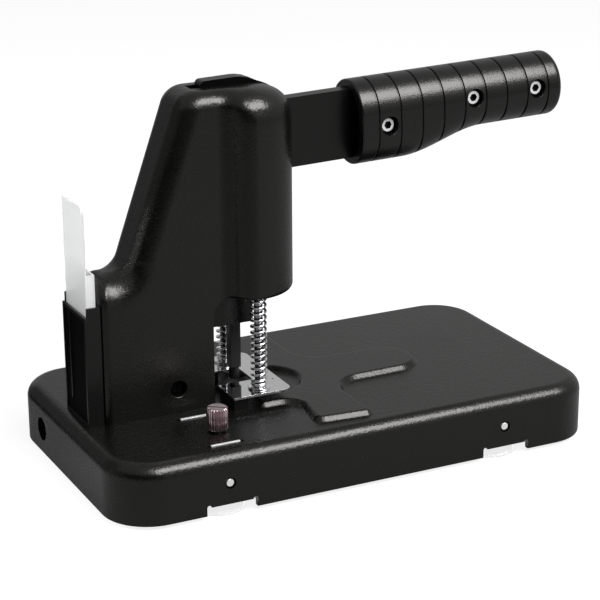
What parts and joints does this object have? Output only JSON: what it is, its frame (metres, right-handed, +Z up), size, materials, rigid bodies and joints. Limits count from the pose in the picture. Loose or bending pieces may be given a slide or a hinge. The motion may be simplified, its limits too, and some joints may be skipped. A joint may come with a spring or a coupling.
{
  "type": "heavy duty hole punch",
  "caption": "Heavy duty hole punch with a long lever, a sprung ram on guide posts, a raised paper rest, a margin gauge and a clear storage box at the back.",
  "frame": {"origin": "on the bench, below the middle of the whole object's outline in plan", "axes": "+Z up, +X along the lever from the column towards the grip, -Y towards the front with the margin gauge"},
  "size_m": [0.3148, 0.171, 0.223],
  "materials": {
    "satin_black": "satin, fine grained paint",
    "smooth_black": "satin",
    "grip_black": "satin",
    "holder_black": "satin",
    "bright_steel": "bright",
    "zinc_steel": "satin",
    "dark_steel": "blackened",
    "chrome": "polished",
    "rosy_nickel": "polished, slightly pink",
    "bronze": "satin",
    "clear_plastic": "clear",
    "clear_rubber": "clear, soft"
  },
  "bodies": {
    "base": {"base_shell": "satin_black", "bottom_sheet": "zinc_steel", "bottom_screws": "zinc_steel", "suction_feet": "clear_rubber", "foot_pins": "bright_steel", "column_housing": "satin_black", "housing_screws": "dark_steel", "lever_frame": "zinc_steel", "frame_bolts": "zinc_steel", "pivot_pin": "bright_steel", "pivot_rings": "dark_steel", "return_spring_front": "chrome", "return_spring_rear": "chrome", "spring_washers": "chrome", "guide_posts": "chrome", "stripper_plate": "chrome", "plate_supports": "smooth_black", "plate_screws": "zinc_steel", "die_bush": "dark_steel", "box_holder": "holder_black", "holder_screws": "dark_steel"},
    "lever": {"lever_arm": "smooth_black", "lever_bush": "bronze", "grip_front": "grip_black", "grip_rear": "grip_black", "grip_screws": "bright_steel", "grip_nuts": "bright_steel"},
    "ram": {"ram": "smooth_black", "link_pin": "bright_steel", "post_bushes": "bronze", "punch": "dark_steel", "punch_set_screw": "dark_steel"},
    "gauge": {"gauge_slide": "bright_steel"},
    "thumbscrew": {"gauge_thumbscrew": "rosy_nickel"},
    "storage": {"storage_box": "clear_plastic"}
  },
  "joints": [
    {"name": "lever_hinge", "type": "hinge", "parent": "base", "child": "lever", "pos_m": [-0.08239, 0, 0.186], "axis": [0, 1, 0], "range_deg": [0, 20]},
    {"name": "ram_slide", "type": "slide", "parent": "base", "child": "ram", "axis": [0, 0, -1], "range_m": [0, 0.011], "stiffness_N_per_m": 4000, "springref_m": -0.01, "deforming": ["return_spring_front", "return_spring_rear"]},
    {"name": "gauge_slide_x", "type": "slide", "parent": "base", "child": "gauge", "axis": [1, 0, 0], "range_m": [-0.0015, 0.0015]},
    {"name": "thumbscrew_turn", "type": "hinge", "parent": "gauge", "child": "thumbscrew", "pos_m": [-0.08639, -0.053, 0.0368], "axis": [0, 0, 1], "continuous": true},
    {"name": "box_lift", "type": "slide", "parent": "base", "child": "storage", "axis": [0, 0, 1], "range_m": [0, 0.066]}
  ],
  "couplings": [
    {"joint": "ram_slide", "follows": "lever_hinge", "m_per_rad": 0.031}
  ]
}
